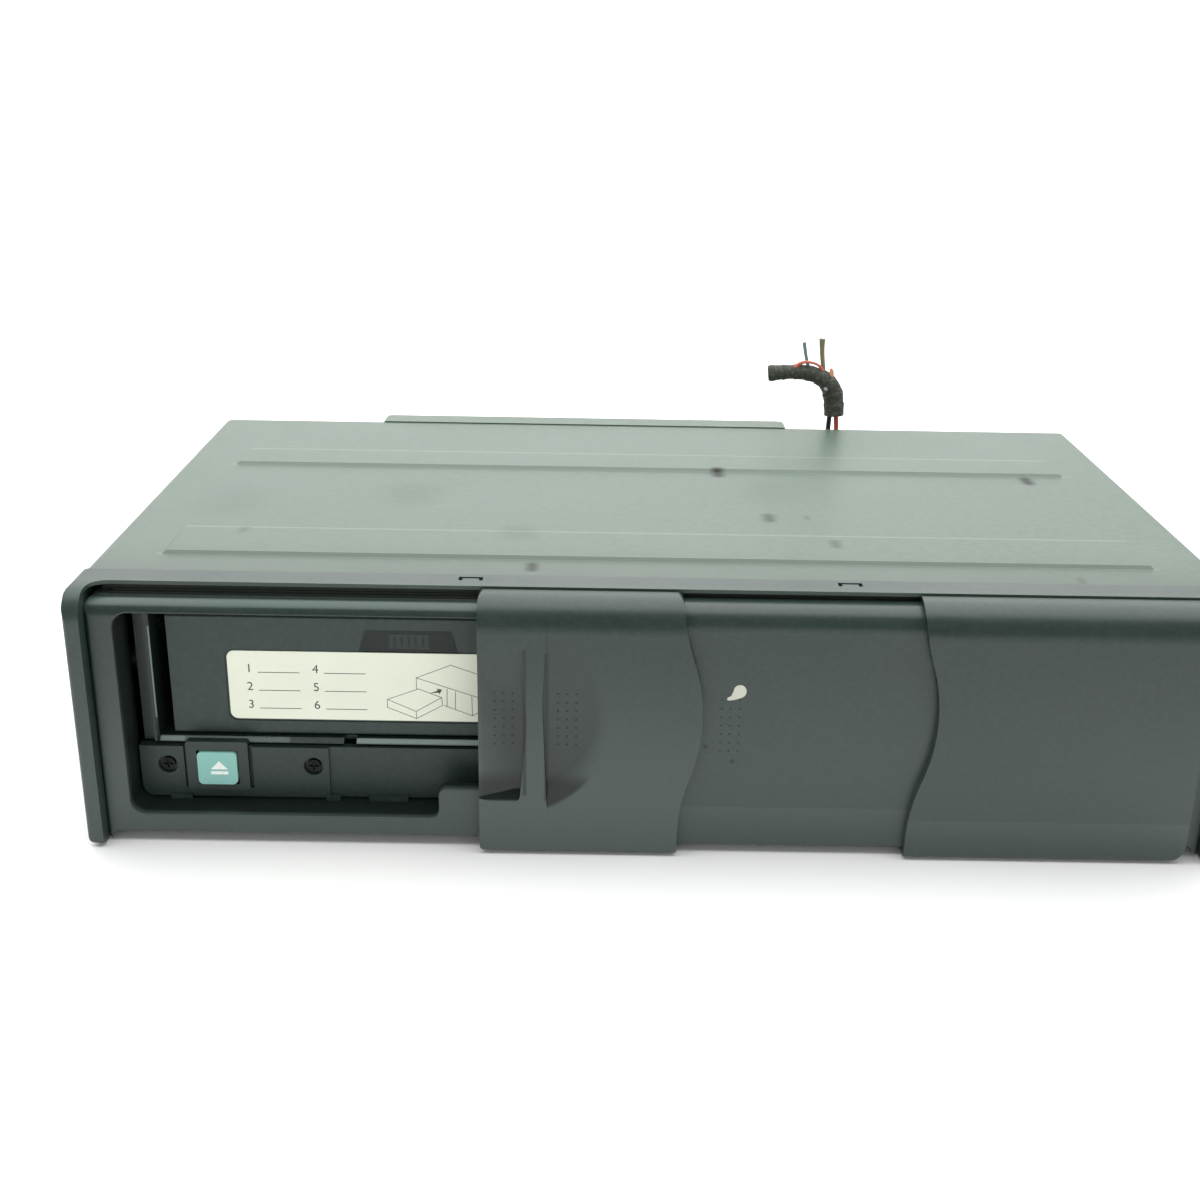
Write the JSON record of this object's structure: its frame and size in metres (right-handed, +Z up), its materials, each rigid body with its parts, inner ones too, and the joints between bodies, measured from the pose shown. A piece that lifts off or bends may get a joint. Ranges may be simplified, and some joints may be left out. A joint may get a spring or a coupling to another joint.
{
  "type": "car disc changer",
  "caption": "Trunk-mounted disc changer for a car: flat metal case, sliding front door, pull-out magazine with swinging trays, lifting player deck and a cut loom.",
  "frame": {"origin": "bottom centre of the housing's box, measured without the cut loom", "axes": "+X to the right along the front, +Y from the front to the back, +Z up from the resting plane"},
  "size_m": [0.2982, 0.1816, 0.1032],
  "materials": {
    "front_surround": "satin moulded plastic",
    "front_frame": "satin moulded plastic",
    "door_panel": "fine-grained moulded plastic",
    "inner_shutter": "fine-grained moulded plastic",
    "fixed_panel": "fine-grained moulded plastic",
    "trim_panel": "black moulded plastic",
    "trim_screws": "blackened steel",
    "eject_button": "pale green moulded plastic",
    "button_spring": "spring wire",
    "front_board": "circuit board",
    "eject_switch": "black",
    "magazine_case": "fine-grained moulded plastic",
    "magazine_lid": "fine-grained moulded plastic",
    "magazine_label": "coated paper label",
    "magazine_cradle": "black moulded plastic",
    "cradle_roof": "zinc-plated steel sheet",
    "ejector_plunger": "natural moulded plastic",
    "ejector_spring": "spring wire",
    "top_cover": "satin paint on steel sheet",
    "bottom_case": "zinc-plated steel sheet",
    "mount_nuts": "zinc-plated",
    "rear_panel": "zinc-plated steel sheet",
    "rear_housing": "black moulded plastic",
    "case_screws": "blackened steel",
    "rear_socket": "black",
    "main_board": "circuit board",
    "board_parts": "black",
    "mechanism_chassis": "zinc-plated steel sheet",
    "chassis_dampers": "soft rubber",
    "lift_screw_1": "natural moulded plastic",
    "lift_screw_2": "natural moulded plastic",
    "lift_screw_3": "natural moulded plastic",
    "lift_belt": "toothed belt",
    "lift_motor": "drawn steel can",
    "motor_pulley": "natural moulded plastic",
    "deck_plate": "zinc-plated steel sheet",
    "lift_nuts": "natural moulded plastic",
    "spindle_motor": "drawn steel can",
    "turntable": "black",
    "pickup_sled": "black",
    "pickup_lens": "coated lens",
    "sled_rods": "ground steel",
    "sled_screw": "rolled thread",
    "sled_motor": "drawn steel can",
    "clamp_arm": "zinc-plated steel sheet",
    "clamp_puck": "black",
    "feed_roller": "soft rubber",
    "wire_plug": "natural moulded plastic",
    "black_wire": "soft wire insulation",
    "red_wire": "soft wire insulation",
    "taped_bundle": "cloth tape",
    "wire_ends": "soft wire insulation",
    "disc_tray_1": "black moulded plastic",
    "disc_tray_2": "black moulded plastic",
    "disc_tray_3": "black moulded plastic",
    "disc_tray_4": "black moulded plastic",
    "disc_tray_5": "black moulded plastic",
    "disc_tray_6": "black moulded plastic"
  },
  "bodies": {
    "housing": {"front_surround": "front_surround", "front_frame": "front_frame", "fixed_panel": "fixed_panel", "trim_panel": "trim_panel", "trim_screws": "trim_screws", "front_board": "front_board", "eject_switch": "eject_switch", "button_spring": "button_spring", "magazine_cradle": "magazine_cradle", "cradle_roof": "cradle_roof", "ejector_spring": "ejector_spring", "top_cover": "top_cover", "bottom_case": "bottom_case", "mount_nuts": "mount_nuts", "rear_panel": "rear_panel", "rear_housing": "rear_housing", "case_screws": "case_screws", "rear_socket": "rear_socket", "main_board": "main_board", "board_parts": "board_parts", "mechanism_chassis": "mechanism_chassis", "chassis_dampers": "chassis_dampers", "lift_belt": "lift_belt", "lift_motor": "lift_motor", "wire_plug": "wire_plug", "black_wire": "black_wire", "red_wire": "red_wire", "taped_bundle": "taped_bundle", "wire_ends": "wire_ends"},
    "door": {"door_panel": "door_panel"},
    "shutter": {"inner_shutter": "inner_shutter"},
    "button": {"eject_button": "eject_button"},
    "magazine": {"magazine_case": "magazine_case", "magazine_lid": "magazine_lid", "magazine_label": "magazine_label"},
    "plunger": {"ejector_plunger": "ejector_plunger"},
    "deck": {"deck_plate": "deck_plate", "spindle_motor": "spindle_motor", "lift_nuts": "lift_nuts", "sled_rods": "sled_rods", "sled_motor": "sled_motor"},
    "spindle": {"turntable": "turntable"},
    "sled": {"pickup_sled": "pickup_sled", "pickup_lens": "pickup_lens"},
    "sled_drive": {"sled_screw": "sled_screw"},
    "clamp": {"clamp_arm": "clamp_arm"},
    "puck": {"clamp_puck": "clamp_puck"},
    "roller": {"feed_roller": "feed_roller"},
    "lift_drive_1": {"lift_screw_1": "lift_screw_1"},
    "lift_drive_2": {"lift_screw_2": "lift_screw_2"},
    "lift_drive_3": {"lift_screw_3": "lift_screw_3"},
    "lift_motor_drive": {"motor_pulley": "motor_pulley"},
    "tray_1": {"disc_tray_1": "disc_tray_1"},
    "tray_2": {"disc_tray_2": "disc_tray_2"},
    "tray_3": {"disc_tray_3": "disc_tray_3"},
    "tray_4": {"disc_tray_4": "disc_tray_4"},
    "tray_5": {"disc_tray_5": "disc_tray_5"},
    "tray_6": {"disc_tray_6": "disc_tray_6"}
  },
  "joints": [
    {"name": "door_slide", "type": "slide", "parent": "housing", "child": "door", "axis": [1, 0, 0], "range_m": [-0.093, 0.0593]},
    {"name": "shutter_slide", "type": "slide", "parent": "housing", "child": "shutter", "axis": [1, 0, 0], "range_m": [-0.0713, 0.0455]},
    {"name": "eject_press", "type": "slide", "parent": "housing", "child": "button", "axis": [0, 1, 0], "range_m": [0, 0.0015], "stiffness_N_per_m": 600, "springref_m": -0.0015, "deforming": ["button_spring"]},
    {"name": "magazine_eject", "type": "slide", "parent": "housing", "child": "magazine", "axis": [0, -1, 0], "range_m": [0, 0.01]},
    {"name": "ejector_stroke", "type": "slide", "parent": "housing", "child": "plunger", "axis": [0, -1, 0], "range_m": [0, 0.01], "deforming": ["ejector_spring"]},
    {"name": "deck_lift", "type": "slide", "parent": "housing", "child": "deck", "axis": [0, 0, 1], "range_m": [0, 0.0388]},
    {"name": "spindle_spin", "type": "hinge", "parent": "deck", "child": "spindle", "pos_m": [0.0527, -0.00615, 0.0158], "axis": [0, 0, 1], "continuous": true},
    {"name": "sled_slide", "type": "slide", "parent": "deck", "child": "sled", "axis": [1, 0, 0], "range_m": [0, 0.034]},
    {"name": "sled_screw_spin", "type": "hinge", "parent": "deck", "child": "sled_drive", "pos_m": [0.094, 0.01485, 0.011], "axis": [1, 0, 0], "range_deg": [0, 4082]},
    {"name": "clamp_swing", "type": "hinge", "parent": "deck", "child": "clamp", "pos_m": [0.0527, 0.06525, 0.0221], "axis": [-1, 0, 0], "range_deg": [0, 5], "stiffness_Nm_per_rad": 1.2, "springref_deg": -4.58},
    {"name": "puck_spin", "type": "hinge", "parent": "clamp", "child": "puck", "pos_m": [0.0527, -0.00615, 0.0205], "axis": [0, 0, 1], "continuous": true},
    {"name": "roller_spin", "type": "hinge", "parent": "deck", "child": "roller", "pos_m": [0.013, -0.04175, 0.0121], "axis": [0, 1, 0], "continuous": true},
    {"name": "lift_screw_spin_1", "type": "hinge", "parent": "housing", "child": "lift_drive_1", "pos_m": [0.134, -0.06275, 0.034], "axis": [0, 0, 1], "range_deg": [0, 2330]},
    {"name": "lift_screw_spin_2", "type": "hinge", "parent": "housing", "child": "lift_drive_2", "pos_m": [0.134, 0.05425, 0.034], "axis": [0, 0, 1], "range_deg": [0, 2330]},
    {"name": "lift_screw_spin_3", "type": "hinge", "parent": "housing", "child": "lift_drive_3", "pos_m": [0.01, 0.06925, 0.034], "axis": [0, 0, 1], "range_deg": [0, 2330]},
    {"name": "motor_pulley_spin", "type": "hinge", "parent": "housing", "child": "lift_motor_drive", "pos_m": [0.096, 0.06925, 0.008], "axis": [0, 0, 1], "range_deg": [0, 2330]},
    {"name": "tray_slide_1", "type": "slide", "parent": "magazine", "child": "tray_1", "axis": [-1, 0, 0], "range_m": [-0.118, 0]},
    {"name": "tray_slide_2", "type": "slide", "parent": "magazine", "child": "tray_2", "axis": [-1, 0, 0], "range_m": [-0.118, 0]},
    {"name": "tray_slide_3", "type": "slide", "parent": "magazine", "child": "tray_3", "axis": [-1, 0, 0], "range_m": [-0.118, 0]},
    {"name": "tray_slide_4", "type": "slide", "parent": "magazine", "child": "tray_4", "axis": [-1, 0, 0], "range_m": [-0.118, 0]},
    {"name": "tray_slide_5", "type": "slide", "parent": "magazine", "child": "tray_5", "axis": [-1, 0, 0], "range_m": [-0.118, 0]},
    {"name": "tray_slide_6", "type": "slide", "parent": "magazine", "child": "tray_6", "axis": [-1, 0, 0], "range_m": [-0.118, 0]}
  ],
  "couplings": [
    {"joint": "shutter_slide", "follows": "door_slide", "ratio": 0.766},
    {"joint": "ejector_stroke", "follows": "magazine_eject", "ratio": 1},
    {"joint": "sled_screw_spin", "follows": "sled_slide", "rad_per_m": 2094.4},
    {"joint": "lift_screw_spin_1", "follows": "deck_lift", "rad_per_m": 1047.2},
    {"joint": "lift_screw_spin_2", "follows": "deck_lift", "rad_per_m": 1047.2},
    {"joint": "lift_screw_spin_3", "follows": "deck_lift", "rad_per_m": 1047.2},
    {"joint": "motor_pulley_spin", "follows": "deck_lift", "rad_per_m": 1047.2}
  ]
}
